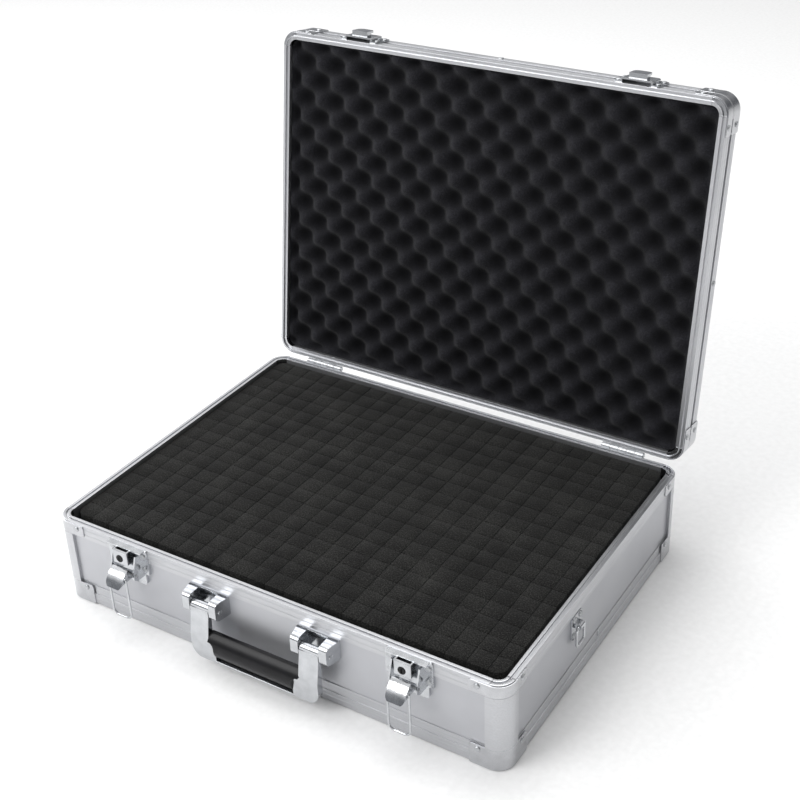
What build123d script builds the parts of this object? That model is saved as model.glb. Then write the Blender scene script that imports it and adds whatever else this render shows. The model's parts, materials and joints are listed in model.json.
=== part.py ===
from build123d import *
import os
from math import acos, degrees, sqrt

# Aluminium equipment case with a foam-filled base and a lid hinged at the back.
# Millimetres. +X right (length), +Y back, +Z up. The origin is the middle of the
# underside of the base. The lid is drawn standing open on its stop, the handle,
# the latch bails and the strap rings hang down.

# ---- driving dimensions: overall -------------------------------------------------
case_length = 460.0
case_depth = 340.0
base_height = 88.0
lid_height = 31.0
seam_gap = 0.6            # daylight between the two rims when the lid is shut
corner_radius = 15.0      # outer radius of the vertical corners
lid_open_angle = 98.3     # from shut to resting on the hinge stops

# ---- sheet and extrusion sections ------------------------------------------------
panel_thickness = 4.0     # laminated board
skin = 1.6                # wall of every extrusion
rim_band = 14.0           # height of the rim extrusion's outer face
rim_web = 5.0             # solid top of the rim extrusion
edge_band = 12.0          # height of the edge extrusion's proud band
edge_flange = 9.0         # thinner flange above that band
edge_flange_set_in = 0.8  # how far the flange sits behind the band
edge_leg = 12.0           # horizontal leg under the floor panel
post_lap = 3.5            # how far a corner profile laps over the panels
groove_width = 1.8
groove_depth = 2.4
tongue_width = 0.9
tongue_entry = 1.2        # how far the lid's tongue enters the groove
rim_edge_round = 0.7

# ---- corner plates and rivets ----------------------------------------------------
plate = 1.0               # plated sheet of the corner pieces
corner_arm = 18.0         # how far a corner piece laps along each side
rim_plate_margin = 1.2    # bare extrusion above and below a rim corner plate
edge_cap_height = 21.0
lid_edge_cap_height = 16.0
rivet_head_radius = 2.7
rivet_head_height = 1.1
rivet_shank_radius = 1.4
rivet_grip = 3.0          # depth of a shank below the face it holds
rivet_from_corner = 10.0  # from the end of the corner's arc
plate_end_round = 2.2     # rounded ends of a corner plate's arms
rim_rivet_drop = 5.6      # below the seam
edge_rivet_rise = 17.0    # above the underside
lid_edge_rivet_rise = 6.0
rivet_dome_share = 0.9    # how much of the head's height is rounded
latch_rivet_inset = 4.6   # from the sides of a latch plate
latch_rivet_drop = 6.5    # below the latch plate's top
latch_rivet_rise = 5.0    # above its waist, and from a catch plate's edges

# ---- foam ------------------------------------------------------------------------
foam_fit = 0.4            # foam stands this far from the rims
foam_corner_radius = 9.0
floor_pad_thickness = 10.0
foam_below_rim = 4.0
lid_foam_set_in = 1.0     # tips of the lid foam behind the lid's rim face

# ---- hinges ----------------------------------------------------------------------
hinge_from_end = 58.0     # middle of a hinge to the end of the case
hinge_width = 42.0
hinge_axis_out = 3.1      # behind the back face
knuckle_radius = 2.8
knuckle_count = 5
knuckle_gap = 0.4
leaf_thickness = 1.2
leaf_height = 17.0
leaf_clear = 0.5          # leaf edge to the other leaf's knuckles
leaf_corner = 2.5
leaf_rivet_share = 0.66   # rivets sit this far down the leaf
hinge_pin_radius = 1.25
running_clearance = 0.05  # radial, every turning fit
pin_head = 0.8
pin_head_radius = 2.2

# ---- latches ---------------------------------------------------------------------
# Heights on the base hang from its rim, so a deeper base carries its fittings up.
latch_from_end = 85.5     # middle of a latch to the end of the case
latch_below_rim = 0.6
latch_plate_width = 44.0
latch_plate_foot_width = 36.0
latch_plate_height = 37.4
latch_foot_height = 12.0
latch_plate_sheet = 1.5
latch_plate_corner = 2.5
latch_lip_reach = 6.0
latch_lip_width = 38.0
latch_cheek_gap = 24.0    # between the two cheeks that hold the axle
latch_cheek = 1.5
latch_cheek_reach = 11.5
latch_cheek_chamfer = 3.0
latch_cheek_lead = 5.0    # how far its upper end is drawn back
latch_cheek_from_foot = 7.0
latch_cheek_from_top = 5.4
axle_out = 9.0
axle_below_plate_top = 23.9
axle_radius = 1.5
axle_proud = 0.6
lock_box_width = 16.0
lock_box_reach = 12.0
lock_box_height = 13.0
lock_box_below_plate_top = 0.4
lock_box_round = 1.6
lock_slot = (13.0, 3.2, 7.0)   # width, across, depth of the slot in its top
lock_slot_before_lip = 1.8     # slot's middle in front of the lip's edge
plug_radius = 3.6
plug_above_box = 5.6           # its middle above the housing's underside
plug_proud = 0.6
plug_length = 7.5
plug_end_gap = 0.3
keyway = (1.1, 4.6, 4.0)       # width, height, depth
lever_width = 17.6
lever_tip_round = 6.0
lever_barrel_radius = 3.6
# The lever's face and back as (out, up) from its axle.
lever_face = ((3.6, 7.1), (8.0, 4.9), (14.4, -3.1), (16.6, -7.1))
lever_back = ((15.4, -8.1), (12.4, -3.9), (0.0, -lever_barrel_radius), (0.0, lever_barrel_radius))
wire_radius = 1.0
bail_width = 20.4         # between the centres of its two legs
bail_length = 44.0        # from its pivot to the middle of its cross bar
bail_corner = 6.0
bail_foot_bend = 1.3      # radius of the turned-in ends
bail_pivot_from_axle = (9.5, 1.0)   # out, up
bail_pin_depth = 3.6      # how far its turned-in ends reach into the lever
bail_pin_end_gap = 0.2

# ---- catches on the lid ------------------------------------------------------------
catch_width = 44.0
catch_low = 3.0           # above the lid's rim face
catch_below_top = 4.0     # below the lid's top
catch_sheet = 1.5
catch_corner = 3.0
catch_rivet_inset = 3.5
cover_width = 30.0        # raised, hollow middle of the catch, open towards the seam
cover_reach = 4.5
cover_below_top = 3.0
cover_round = 1.2
hook_low = 5.5
hook_wire_clear = 0.5     # round the wire when it lies behind the hook
hook_side_clear = 0.6     # between the hook and the bail's legs
hook_lip = 1.8
hook_lip_rise = 3.6

# ---- handle ------------------------------------------------------------------------
bracket_centre = 56.5
bracket_width = 41.4
bracket_below_axis = 8.5
bracket_above_axis = 10.0
bracket_sheet = 2.2
bracket_reach = 15.0
bracket_edge = 0.6        # square part of its flanks before they lean in
bracket_nose_half_width = 17.8
bracket_nose_round = 4.5
handle_arm_width = 19.3
handle_side_clear = 0.45
handle_axis_out = 10.0
handle_axis_below_rim = 26.5
handle_pin_radius = 2.0
handle_pin_proud = 0.5
pin_round = 0.4
handle_barrel_radius = 4.3
handle_drop = 50.9        # from its axis to its underside
handle_corner = 13.0
lobe_width = 25.8
lobe_height = 22.4
lobe_round = 5.5          # where a lobe swells out of its arm
handle_bar = 3.0          # thin bar under the grip
handle_top_front = 15.2
handle_top_sheet = 4.2
handle_low_front = 19.0
handle_low_back = 12.0
handle_shoulder = 6.0     # below the axis, where the arms start to lean out
handle_foot_chamfer = 1.4
grip_height = 26.4
grip_back = 9.4
grip_front = 21.6
grip_crown_share = 0.35   # how much of its depth is the rounded front
grip_back_round = 3.0

# ---- strap rings -------------------------------------------------------------------
ring_y = -47.0
ring_plate_size = (19.0, 24.0)
ring_plate_sheet = 2.0
ring_plate_corner = 3.0
ring_plate_below_rim = 14.5
ring_axis_above_plate = 13.0   # above the plate's lower edge
ring_axis_out = 3.6
ring_wire_radius = 1.2
ring_width = 14.0         # between wire centres
ring_height = 19.0
ring_corner = 2.8
ring_lug_width = 7.4
ring_lug_radius = 2.7
ring_rivet_inset = (4.0, 4.2)  # from the plate's sides and ends

# ---- derived -------------------------------------------------------------------------
half_length = case_length / 2
half_depth = case_depth / 2
board_in = skin + panel_thickness      # inner face of a wall panel
rim_width = board_in + skin
groove_middle = rim_width / 2
seam_z = base_height + seam_gap        # the lid's rim face when shut
hinge_y = half_depth + hinge_axis_out
hinge_z = base_height + seam_gap / 2
front_y = -half_depth
lid_axis = Axis((0, hinge_y, hinge_z), (1, 0, 0))
hinge_centre = half_length - hinge_from_end
latch_centre = half_length - latch_from_end
latch_plate_top = base_height - latch_below_rim
latch_plate_low = latch_plate_top - latch_plate_height
latch_plate_waist = latch_plate_low + latch_foot_height
axle_up = latch_plate_top - axle_below_plate_top
lock_box_high = latch_plate_top - lock_box_below_plate_top
lock_box_low = lock_box_high - lock_box_height
plug_up = lock_box_low + plug_above_box
bail_pivot_out = axle_out + bail_pivot_from_axle[0]
bail_pivot_up = axle_up + bail_pivot_from_axle[1]
hook_groove_out = cover_reach + wire_radius + hook_wire_clear
latched_rise = sqrt(bail_length**2 - (bail_pivot_out - hook_groove_out) ** 2)
latched_lean = degrees(acos(latched_rise / bail_length))
catch_high = lid_height - catch_below_top
hook_width = bail_width - 2 * (wire_radius + hook_side_clear)
hook_shoulder = bail_corner - wire_radius + hook_wire_clear
handle_axis_up = base_height - handle_axis_below_rim
bracket_low = handle_axis_up - bracket_below_axis
bracket_high = handle_axis_up + bracket_above_axis
handle_bottom = handle_axis_up - handle_drop
lobe_top = handle_bottom + lobe_height
grip_low = handle_bottom + handle_bar
grip_top = grip_low + grip_height
ring_plate_low = base_height - ring_plate_below_rim - ring_plate_size[1]
ring_axis_up = ring_plate_low + ring_axis_above_plate
beyond = 100.0            # cutting shapes run this far past what they cut
tolerance = 0.01          # for picking edges by their length or place

nodes = {}


def keep(name, *solids):
    """Files solids under a node's name."""
    nodes.setdefault(name, []).extend(solids)


def block(x0, x1, y0, y1, z0, z1):
    """A box given by its two faces along each axis."""
    centre = Pos((x0 + x1) / 2, (y0 + y1) / 2, (z0 + z1) / 2)
    return centre * Box(x1 - x0, y1 - y0, z1 - z0)


def patch(u0, u1, v0, v1):
    """A rectangle given by its edges."""
    return Pos((u0 + u1) / 2, (v0 + v1) / 2) * Rectangle(u1 - u0, v1 - v0)


def rod(p, direction, length, radius):
    """A cylinder that starts at p."""
    return extrude(Plane(origin=p, z_dir=direction) * Circle(radius), amount=length)


# ---- the two shells ------------------------------------------------------------------
# A shell is drawn seam upwards, with its seam at z 0. In a section, u runs inwards
# from the outer face and v runs up.

def bar(section, half_run, half_span):
    """A section run along X on the front side."""
    placed = Plane.YZ.offset(-half_run) * (Pos(-half_span, 0) * section)
    return extrude(placed, amount=2 * half_run)


def around(section):
    """A section turned round the arc of one vertical corner."""
    turned = mirror(section, about=Plane.YZ)
    placed = Plane.XZ * (Pos(corner_radius, 0) * turned)
    return revolve(placed, axis=Axis.Z, revolution_arc=90)


SIDES = {
    "front": (0, half_length, half_depth),
    "right": (90, half_depth, half_length),
    "back": (180, half_length, half_depth),
    "left": (270, half_depth, half_length),
}


def side_bar(side, section, trim=0.0):
    """A section run along one side, between the corner arcs."""
    angle, run, span = SIDES[side]
    return Rot(0, 0, angle) * bar(section, run - corner_radius - trim, span)


def corner_places():
    """The four corner arcs, from back right anticlockwise."""
    x = half_length - corner_radius
    y = half_depth - corner_radius
    signs = ((1, 1), (-1, 1), (-1, -1), (1, -1))
    return [Pos(sx * x, sy * y, 0) * Rot(0, 0, 90 * i) for i, (sx, sy) in enumerate(signs)]


def rim_section(with_tongue):
    """Channel over the panel's edge, with a seal groove or a tongue."""
    section = patch(0, skin, -rim_band, 0) + patch(0, rim_width, -rim_web, 0)
    section += patch(board_in, rim_width, -rim_band, 0)
    section = fillet(section.vertices().group_by(Axis.Y)[-1], rim_edge_round)
    if with_tongue:
        half = tongue_width / 2
        tip = seam_gap + tongue_entry
        return section + patch(groove_middle - half, groove_middle + half, -rim_web / 2, tip)
    half = groove_width / 2
    return section - patch(groove_middle - half, groove_middle + half, -groove_depth, beyond)


def edge_section(height):
    """Angle round the outer edge of the floor panel."""
    wall = patch(0, skin, -height, -height + edge_band)
    leg = patch(0, edge_leg, -height, -height + skin)
    section = wall + leg
    outer = section.vertices().group_by(Axis.Y)[0].sort_by(Axis.X)[0]
    return fillet(outer, rim_edge_round * 2)


def plate_arms(v0, v1):
    """The two arms and the bend of a corner plate, on the outer face."""
    band = patch(-plate, 0, v0, v1)
    bend = around(band)
    arm_x = block(-corner_arm, 0, corner_radius, corner_radius + plate, v0, v1)
    arm_y = block(corner_radius, corner_radius + plate, -corner_arm, 0, v0, v1)
    shape = bend + arm_x + arm_y
    ends = shape.edges().filter_by(Axis.X) + shape.edges().filter_by(Axis.Y)
    tips = [e for e in ends if abs(e.length - plate) < tolerance]
    return fillet(tips, plate_end_round)


def shell(prefix, height, with_tongue, cap_height, flange, place, names):
    """Every board and extrusion of one half of the case."""
    rim = rim_section(with_tongue)
    edge = edge_section(height)
    lap = patch(edge_flange_set_in, skin, -height + edge_band, -height + edge_band + flange)
    for side in SIDES:
        name = names[side]
        keep(prefix + "_rim_" + name, place * side_bar(side, rim))
        profile = side_bar(side, edge)
        if flange:
            profile += side_bar(side, lap, post_lap)
        keep(prefix + "_edge_" + name, place * profile)
        wall = patch(skin, board_in, -height + panel_thickness, -rim_web)
        node = prefix + "_" + name + "_panel" if flange else prefix + "_wall_strips"
        keep(node, place * side_bar(side, wall))

    post = around(patch(0, rim_width, -height + edge_band, -rim_band))
    post += around(patch(skin, board_in, -height + panel_thickness, -rim_web))
    for u0, u1 in ((0, skin), (board_in, rim_width)):
        r0, r1 = corner_radius - u1, corner_radius - u0
        low, high = -height + edge_band, -rim_band
        post += block(-post_lap, 0, r0, r1, low, high)
        post += block(r0, r1, -post_lap, 0, low, high)
    rim_corner = around(rim) + plate_arms(-rim_band + rim_plate_margin, -rim_plate_margin)
    edge_corner = around(edge) + plate_arms(-height, -height + cap_height)
    for spot in corner_places():
        keep(prefix + "_corner_profiles", place * spot * post)
        keep(prefix + "_rim_corners", place * spot * rim_corner)
        keep(prefix + "_edge_corners", place * spot * edge_corner)

    def sheet(inset, z0, z1):
        outline = RectangleRounded(
            case_length - 2 * inset, case_depth - 2 * inset, corner_radius - inset
        )
        return Pos(0, 0, z0) * extrude(outline, amount=z1 - z0)

    board = sheet(edge_leg, -height, -height + panel_thickness)
    board += sheet(skin, -height + skin, -height + panel_thickness)
    keep(prefix + ("_floor_panel" if flange else "_top_panel"), place * board)


same = {side: side for side in SIDES}
swapped = {"front": "back", "back": "front", "left": "left", "right": "right"}
base_place = Pos(0, 0, base_height)
lid_place = Pos(0, 0, seam_z) * Rot(180, 0, 0)
shell("base", base_height, False, edge_cap_height, edge_flange, base_place, same)
shell("lid", lid_height, True, lid_edge_cap_height, 0.0, lid_place, swapped)


# ---- foam ------------------------------------------------------------------------------
def foam(z0, z1):
    """A foam sheet that fills a shell between its rims."""
    inset = rim_width + foam_fit
    outline = RectangleRounded(
        case_length - 2 * inset, case_depth - 2 * inset, foam_corner_radius
    )
    return Pos(0, 0, z0) * extrude(outline, amount=z1 - z0)


pad_top = panel_thickness + floor_pad_thickness
lid_ceiling = seam_z + lid_height - panel_thickness
keep("foam_base_pad", foam(panel_thickness, pad_top))
keep("foam_cube_block", foam(pad_top, base_height - foam_below_rim))
keep("lid_foam", foam(seam_z + lid_foam_set_in, lid_ceiling))


# ---- hinges ------------------------------------------------------------------------------
def knuckles(left, own):
    """Where the barrels of one leaf start and stop: even places for the base, odd for the lid."""
    pitch = hinge_width / knuckle_count
    for i in range(own, knuckle_count, 2):
        start = left + i * pitch + (knuckle_gap / 2 if i else 0)
        stop = left + (i + 1) * pitch - (knuckle_gap / 2 if i < knuckle_count - 1 else 0)
        yield start, stop


def hinge_leaf(x, own):
    """A leaf on the back face with its barrels. own is 1 for the lid's leaf and 0 for the base's."""
    up = 1 if own else -1
    near = hinge_z + up * (knuckle_radius + leaf_clear)
    far = hinge_z + up * leaf_height
    back = half_depth + leaf_thickness
    left = x - hinge_width / 2
    leaf = block(left, left + hinge_width, half_depth, back, *sorted((near, far)))
    tips = leaf.edges().filter_by(Axis.Y).group_by(Axis.Z)[-1 if own else 0]
    leaf = fillet(tips, leaf_corner)
    lap = near + up * leaf_thickness
    for start, stop in knuckles(left, own):
        leaf += block(start, stop, half_depth, back, *sorted((hinge_z, lap)))
        leaf += rod((start, hinge_y, hinge_z), (1, 0, 0), stop - start, knuckle_radius)
    bore = hinge_pin_radius + (running_clearance if own else 0)
    return leaf - rod((left, hinge_y, hinge_z), (1, 0, 0), hinge_width, bore)


for name, x in (("left", -hinge_centre), ("right", hinge_centre)):
    keep("hinge_base_leaf_" + name, hinge_leaf(x, 0))
    keep("hinge_lid_leaf_" + name, hinge_leaf(x, 1))
    start = x - hinge_width / 2
    pin = rod((start, hinge_y, hinge_z), (1, 0, 0), hinge_width, hinge_pin_radius)
    for end in (start - pin_head, start + hinge_width):
        pin += rod((end, hinge_y, hinge_z), (1, 0, 0), pin_head, pin_head_radius)
    keep("hinge_pins", pin)


# ---- latches -------------------------------------------------------------------------------
# In a latch, "out" is the distance in front of the rim's outer face.

def out_block(x0, x1, out0, out1, z0, z1):
    """A box in front of the case, given by its distances from the front face."""
    return block(x0, x1, front_y - out1, front_y - out0, z0, z1)


def side_profile(points, x0, x1):
    """A solid with a (out, z) outline, from x0 to x1."""
    outline = Polyline([(-out, z) for out, z in points], close=True)
    face = Plane.YZ.offset(x0) * (Pos(front_y, 0) * make_face(outline))
    return extrude(face, amount=x1 - x0)


def latch_plate(x):
    """Back plate with its lip, the axle's cheeks and the lock housing."""
    half = latch_plate_width / 2
    foot = latch_plate_foot_width / 2
    band_low = base_height - rim_band
    sheet = latch_plate_sheet
    body = out_block(x - half, x + half, 0, sheet, latch_plate_waist, latch_plate_top)
    body += out_block(x - half, x + half, -skin, sheet, latch_plate_waist, band_low)
    body += out_block(x - foot, x + foot, -skin, sheet, latch_plate_low, latch_plate_waist)
    corners = body.edges().filter_by(Axis.Y).group_by(Axis.Z)
    body = fillet(corners[0] + corners[-1], latch_plate_corner)
    lip = latch_lip_width / 2
    lip_low = latch_plate_top - sheet
    body += out_block(x - lip, x + lip, 0, latch_lip_reach, lip_low, latch_plate_top)
    gap = latch_cheek_gap / 2
    reach, cut = latch_cheek_reach, latch_cheek_chamfer
    low = latch_plate_low + latch_cheek_from_foot
    high = latch_plate_top - latch_cheek_from_top
    ear = [(0, low), (reach - 1.5 * cut, low), (reach, low + cut), (reach, axle_up + cut),
           (reach - latch_cheek_lead, high), (0, high)]
    for x0, x1 in ((x - gap - latch_cheek, x - gap), (x + gap, x + gap + latch_cheek)):
        body += side_profile(ear, x0, x1)
    box = lock_box_width / 2
    housing = out_block(x - box, x + box, 0, lock_box_reach, lock_box_low, lock_box_high)
    housing = fillet(housing.edges().filter_by(Axis.Z).group_by(Axis.Y)[0], lock_box_round)
    body += housing
    width, across, depth = lock_slot
    middle = latch_lip_reach + lock_slot_before_lip
    slot_low = lock_box_high - depth
    body -= out_block(
        x - width / 2, x + width / 2, middle - across / 2, middle + across / 2, slot_low, beyond
    )
    mouth = (x, front_y - lock_box_reach, plug_up)
    bore_depth = plug_length - plug_proud + plug_end_gap
    body -= rod(mouth, (0, 1, 0), bore_depth, plug_radius + running_clearance)
    pin = (x - latch_plate_width / 2, front_y - axle_out, axle_up)
    return body - rod(pin, (1, 0, 0), latch_plate_width, axle_radius)


def lock_plug(x):
    """Cylinder with a keyway, turned by the key."""
    front = front_y - lock_box_reach - plug_proud
    body = rod((x, front, plug_up), (0, 1, 0), plug_length, plug_radius)
    body = fillet(body.edges().group_by(Axis.Y)[0], pin_round)
    width, height, depth = keyway
    return body - block(
        x - width / 2, x + width / 2, front - plug_proud, front + depth,
        plug_up - height / 2, plug_up + height / 2,
    )


def lever(x):
    """Thumb lever: a barrel on the axle, a curved face and a flared lip."""
    half = lever_width / 2
    front = [(-axle_out - out, axle_up + up) for out, up in lever_face]
    back = [(-axle_out - out, axle_up + up) for out, up in lever_back]
    outline = make_face(Curve() + [Spline(front), Polyline([front[-1], *back, front[0]])])
    placed = Plane.YZ.offset(x - half) * (Pos(front_y, 0) * outline)
    body = extrude(placed, amount=lever_width)
    tip = axle_up + min(up for out, up in lever_back)
    shape = patch(x - half, x + half, tip, axle_up + lever_width)
    shape = fillet(shape.vertices().group_by(Axis.Y)[0], lever_tip_round)
    body &= extrude(Plane.XZ.offset(half_depth) * shape, amount=beyond)
    axle = (x - half, front_y - axle_out, axle_up)
    body += rod(axle, (1, 0, 0), lever_width, lever_barrel_radius)
    body -= rod(axle, (1, 0, 0), lever_width, axle_radius + running_clearance)
    depth = bail_pin_depth + bail_pin_end_gap
    for end, direction in ((x - half, 1), (x + half, -1)):
        pivot = (end, front_y - bail_pivot_out, bail_pivot_up)
        body -= rod(pivot, (direction, 0, 0), depth, wire_radius + running_clearance)
    return body


def bail(x):
    """Wire loop that hangs from the lever and hooks over the lid's catch."""
    half = bail_width / 2
    inner = lever_width / 2 - bail_pin_depth
    low = bail_pivot_up - bail_length
    high = bail_pivot_up
    points = [(-inner, high), (-half, high), (-half, low), (half, low), (half, high), (inner, high)]
    path = FilletPolyline(
        [(x + px, front_y - bail_pivot_out, pz) for px, pz in points],
        radius=[bail_foot_bend, bail_corner, bail_corner, bail_foot_bend],
    )
    return sweep(Plane(origin=path @ 0, z_dir=path % 0) * Circle(wire_radius), path=path)


def arch(x, half, low, high, shoulder, out0, out1):
    """A block in front of the case whose two upper corners are rounded, seen from the front."""
    outline = patch(x - half, x + half, low, high)
    outline = fillet(outline.vertices().group_by(Axis.Y)[-1], shoulder)
    return extrude(Plane.XZ.offset(half_depth + out0) * outline, amount=out1 - out0)


def catch(x):
    """Plate on the lid with a raised cover and a hook that the bail drops into."""
    half = catch_width / 2
    low, high = seam_z + catch_low, seam_z + catch_high
    body = out_block(x - half, x + half, 0, catch_sheet, low, high)
    body = fillet(body.edges().filter_by(Axis.Y), catch_corner)
    top = high - cover_below_top
    body += arch(x, cover_width / 2, low, top, catch_corner, 0, cover_reach)
    body = fillet(body.faces().sort_by(Axis.Y)[0].edges().group_by(Axis.Z)[-1], cover_round)
    hollow = cover_width / 2 - catch_sheet
    body -= out_block(x - hollow, x + hollow, 0, cover_reach - catch_sheet, low, top - catch_sheet)
    seat = bail_pivot_up + latched_rise - wire_radius - hook_wire_clear
    lip_in = hook_groove_out + wire_radius + hook_wire_clear
    wide = hook_width / 2
    base = cover_reach - catch_sheet
    body += arch(x, wide, seam_z + hook_low, seat, hook_shoulder, base, lip_in)
    tip = seat + hook_lip_rise
    return body + arch(x, wide, seam_z + hook_low, tip, hook_shoulder, lip_in, lip_in + hook_lip)


# ---- handle -----------------------------------------------------------------------------------
def bracket(x):
    """Back plate with two cheeks that hold the handle's pin."""
    half = bracket_width / 2
    nose = bracket_nose_half_width
    inner = handle_arm_width / 2 + handle_side_clear
    outline = Polyline(
        [(x - half, skin), (x - half, -bracket_edge), (x - nose, -bracket_reach),
         (x + nose, -bracket_reach), (x + half, -bracket_edge), (x + half, skin)], close=True)
    body = extrude(
        Plane.XY.offset(bracket_low) * (Pos(0, front_y) * make_face(outline)),
        amount=bracket_high - bracket_low,
    )
    tips = body.edges().filter_by(Axis.X).group_by(Axis.Y)[0].group_by(Axis.Z)
    body = fillet(tips[0] + tips[-1], bracket_nose_round)
    body -= out_block(x - inner, x + inner, bracket_sheet - skin, beyond, 0, beyond)
    pin = (x - half, front_y - handle_axis_out, handle_axis_up)
    return body - rod(pin, (1, 0, 0), bracket_width, handle_pin_radius)


def handle_pin(x):
    """Pin through both cheeks, a little proud of them."""
    lean = (bracket_width / 2 - bracket_nose_half_width) * handle_axis_out / bracket_reach
    half = bracket_width / 2 - lean + handle_pin_proud
    start = (x - half, front_y - handle_axis_out, handle_axis_up)
    body = rod(start, (1, 0, 0), 2 * half, handle_pin_radius)
    return fillet(body.edges().filter_by(GeomType.CIRCLE), pin_round)


arm_in = bracket_centre - handle_arm_width / 2
arm_out = bracket_centre + handle_arm_width / 2
lobe_in = arm_out - lobe_width


def handle_outline():
    """The frame seen from the front."""
    outline = patch(-arm_out, arm_out, handle_bottom, handle_axis_up)
    outline = fillet(outline.vertices().group_by(Axis.Y)[0], handle_corner)
    outline -= patch(-arm_in, arm_in, lobe_top, beyond)
    outline -= patch(-lobe_in, lobe_in, grip_low, beyond)
    inner = [v for v in outline.vertices() if abs(v.X) < arm_in - tolerance]
    steps = [v for v in inner if abs(v.Y - lobe_top) < tolerance]
    return fillet(steps, lobe_round)


def handle_frame():
    """Plated frame: two arms, round lobes at their feet, a thin bar between."""
    outline = handle_outline()
    body = extrude(Plane.XZ.offset(half_depth) * outline, amount=2 * handle_low_front)
    top = handle_axis_up + 2 * handle_barrel_radius
    shoulder = handle_axis_up - handle_shoulder
    behind = handle_top_front - handle_top_sheet
    foot = handle_foot_chamfer
    side = [(behind, top), (handle_top_front, top), (handle_top_front, shoulder),
            (handle_low_front, lobe_top), (handle_low_front, handle_bottom + foot),
            (handle_low_front - foot / 2, handle_bottom), (handle_low_back + foot / 4, handle_bottom),
            (handle_low_back, handle_bottom + foot), (handle_low_back, lobe_top), (behind, shoulder)]
    body &= side_profile(side, -arm_out, arm_out)
    for x in (-bracket_centre, bracket_centre):
        start = (x - handle_arm_width / 2, front_y - handle_axis_out, handle_axis_up)
        body += rod(start, (1, 0, 0), handle_arm_width, handle_barrel_radius)
        body -= rod(start, (1, 0, 0), handle_arm_width, handle_pin_radius + running_clearance)
    return body


def handle_grip():
    """Moulded grip: half round in front, flat behind."""
    middle = (grip_low + grip_top) / 2
    back, front = -grip_back, -grip_front
    bulge = front * grip_crown_share + back * (1 - grip_crown_share)
    crown = ThreePointArc((bulge, grip_low), (front, middle), (bulge, grip_top))
    closing = Polyline([(bulge, grip_top), (back, grip_top), (back, grip_low), (bulge, grip_low)])
    outline = make_face(Curve() + [crown, closing])
    placed = Plane.YZ.offset(-arm_in) * (Pos(front_y, 0) * outline)
    body = extrude(placed, amount=2 * arm_in)
    body = fillet(body.edges().filter_by(Axis.X).group_by(Axis.Y)[-1], grip_back_round)
    return body - extrude(Plane.XZ.offset(half_depth) * handle_outline(), amount=2 * grip_front)


# ---- strap rings ------------------------------------------------------------------------------
def ring_plate(side):
    """Small plate on an end panel with a lug for the ring's top bar."""
    width, height = ring_plate_size
    face = half_length - skin
    body = block(
        face, face + ring_plate_sheet, ring_y - width / 2, ring_y + width / 2,
        ring_plate_low, ring_plate_low + height,
    )
    body = fillet(body.edges().filter_by(Axis.X), ring_plate_corner)
    x = half_length + ring_axis_out
    lug = block(face, x, ring_y - ring_lug_width / 2, ring_y + ring_lug_width / 2,
                ring_axis_up - ring_lug_radius, ring_axis_up + ring_lug_radius)
    start = (x, ring_y - ring_lug_width / 2, ring_axis_up)
    body += lug + rod(start, (0, 1, 0), ring_lug_width, ring_lug_radius)
    body -= rod(start, (0, 1, 0), ring_lug_width, ring_wire_radius + running_clearance)
    return body if side > 0 else mirror(body, about=Plane.YZ)


def strap_ring(side):
    """Closed wire ring that hangs in the lug."""
    x = half_length + ring_axis_out
    half = ring_width / 2
    low = ring_axis_up - ring_height
    outline = RectangleRounded(ring_width, ring_height, ring_corner)
    middle = Plane(origin=(x, ring_y, (ring_axis_up + low) / 2), x_dir=(0, 1, 0), z_dir=(1, 0, 0))
    path = (middle * outline).wires()[0]
    section = Plane(origin=path @ 0, z_dir=path % 0) * Circle(ring_wire_radius)
    body = sweep(section, path=path)
    return body if side > 0 else mirror(body, about=Plane.YZ)


for name, side in (("left", -1), ("right", 1)):
    keep("latch_base_plate_" + name, latch_plate(side * latch_centre))
    keep("latch_lever_" + name, lever(side * latch_centre))
    keep("latch_bail_" + name, bail(side * latch_centre))
    keep("lock_plug_" + name, lock_plug(side * latch_centre))
    keep("latch_catch_" + name, catch(side * latch_centre))
    reach = latch_cheek_gap / 2 + latch_cheek + axle_proud
    start = (side * latch_centre - reach, front_y - axle_out, axle_up)
    keep("latch_lever_pins", rod(start, (1, 0, 0), 2 * reach, axle_radius))
    keep("handle_bracket_" + name, bracket(side * bracket_centre))
    keep("handle_pins", handle_pin(side * bracket_centre))
    keep("strap_ring_plate_" + name, ring_plate(side))
    keep("strap_ring_" + name, strap_ring(side))
keep("handle_frame", handle_frame())
keep("handle_grip", handle_grip())


# ---- rivets ----------------------------------------------------------------------------------
def rivet(face, outward):
    """Domed head on a face, with a shank into the case. Returns it and its hole."""
    base = Plane(origin=face, z_dir=outward)
    head = extrude(base * Circle(rivet_head_radius), amount=rivet_head_height)
    head = fillet(head.edges().sort_by(Axis(face, outward))[-1], rivet_head_height * rivet_dome_share)
    inward = tuple(-c for c in outward)
    shank = rod(face, inward, rivet_grip, rivet_shank_radius)
    return head + shank, shank


def corner_rivets(z, out):
    """Two rivets at each corner, on plates that stand out from the faces."""
    x = half_length - corner_radius - rivet_from_corner
    y = half_depth - corner_radius - rivet_from_corner
    for sx in (-1, 1):
        for sy in (-1, 1):
            yield (sx * x, sy * (half_depth + out), z), (0, sy, 0)
            yield (sx * (half_length + out), sy * y, z), (sx, 0, 0)


def plate_rivets(x, width, inset, z_values, out):
    """Rivets in the wings of a plate on the front, at the given heights."""
    for dx in (inset - width / 2, width / 2 - inset):
        for z in z_values:
            yield (x + dx, front_y - out, z), (0, -1, 0)


def leaf_rivets(x, up):
    """Three rivets in a hinge leaf."""
    for dx in (-hinge_width / 3, 0, hinge_width / 3):
        z = hinge_z + up * leaf_height * leaf_rivet_share
        yield (x + dx, half_depth + leaf_thickness, z), (0, 1, 0)


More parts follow.
